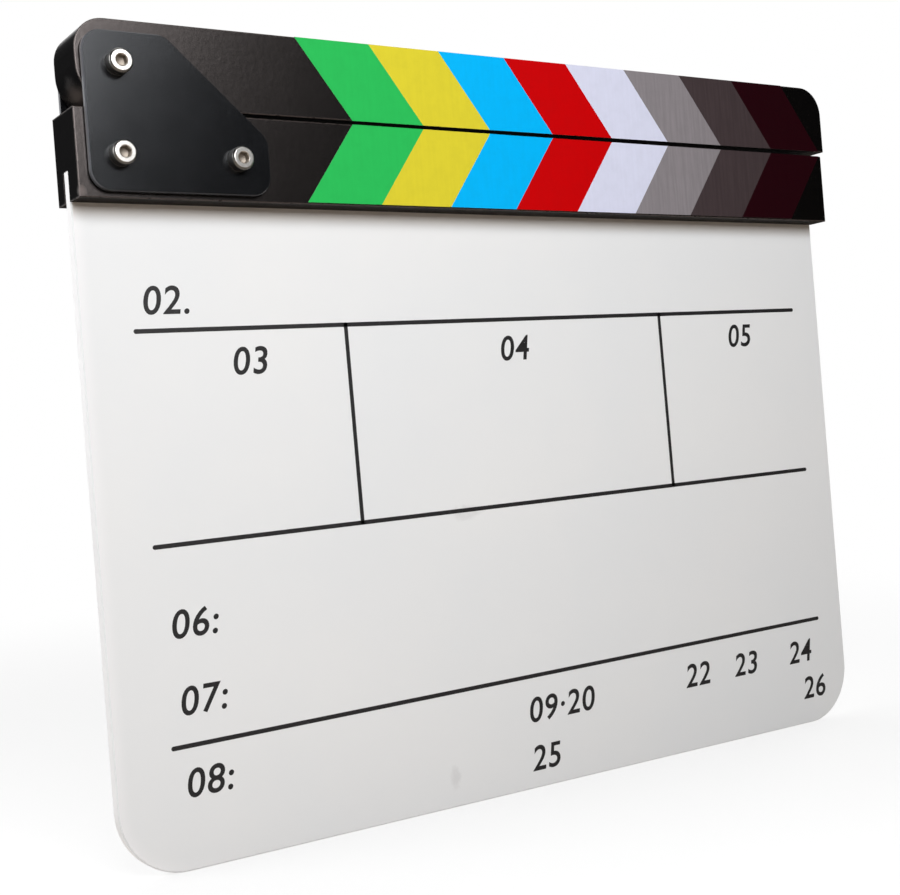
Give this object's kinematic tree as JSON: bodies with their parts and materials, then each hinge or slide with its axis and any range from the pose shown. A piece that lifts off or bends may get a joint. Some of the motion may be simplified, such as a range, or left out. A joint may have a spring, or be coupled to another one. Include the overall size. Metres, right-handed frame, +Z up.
{
  "type": "clapperboard",
  "caption": "Film slate with a white writing board held in a slotted stick, and a striped clapper stick hinged above it at its end to clap shut.",
  "frame": {"origin": "middle of the writing board's lower edge, half way through its thickness", "axes": "+X along the sticks from the hinge to the free end, +Y from the front to the back, +Z up"},
  "size_m": [0.2987, 0.032, 0.2432],
  "materials": {
    "acrylic": "polished white sheet",
    "black_wood": "satin black lacquer",
    "black_plate": "satin black",
    "steel": "bright",
    "nylon": "matte black",
    "film_green": "satin printed film",
    "film_yellow": "satin printed film",
    "film_cyan": "satin printed film",
    "film_red": "satin printed film",
    "film_white": "satin printed film",
    "film_light_grey": "satin printed film",
    "film_dark_grey": "satin printed film",
    "film_maroon": "satin printed film"
  },
  "bodies": {
    "board": {"writing_board": "acrylic", "lower_stick": "black_wood", "front_hinge_plate": "black_plate", "rear_hinge_plate": "black_plate", "pivot_screw": "steel", "plate_screws": "steel", "pivot_lock_nut": "steel", "plate_lock_nuts": "steel", "pivot_washers": "nylon", "plate_washers": "nylon", "lower_stripe_green": "film_green", "lower_stripe_yellow": "film_yellow", "lower_stripe_cyan": "film_cyan", "lower_stripe_red": "film_red", "lower_stripe_white": "film_white", "lower_stripe_light_grey": "film_light_grey", "lower_stripe_dark_grey": "film_dark_grey", "lower_stripe_maroon": "film_maroon"},
    "clapper": {"upper_stick": "black_wood", "upper_stripe_green": "film_green", "upper_stripe_yellow": "film_yellow", "upper_stripe_cyan": "film_cyan", "upper_stripe_red": "film_red", "upper_stripe_white": "film_white", "upper_stripe_light_grey": "film_light_grey", "upper_stripe_dark_grey": "film_dark_grey", "upper_stripe_maroon": "film_maroon"}
  },
  "joints": [
    {"name": "clapper_hinge", "type": "hinge", "parent": "board", "child": "clapper", "pos_m": [-0.1356, -0.00115, 0.2291], "axis": [0, -1, 0], "range_deg": [-0.35, 101]}
  ]
}
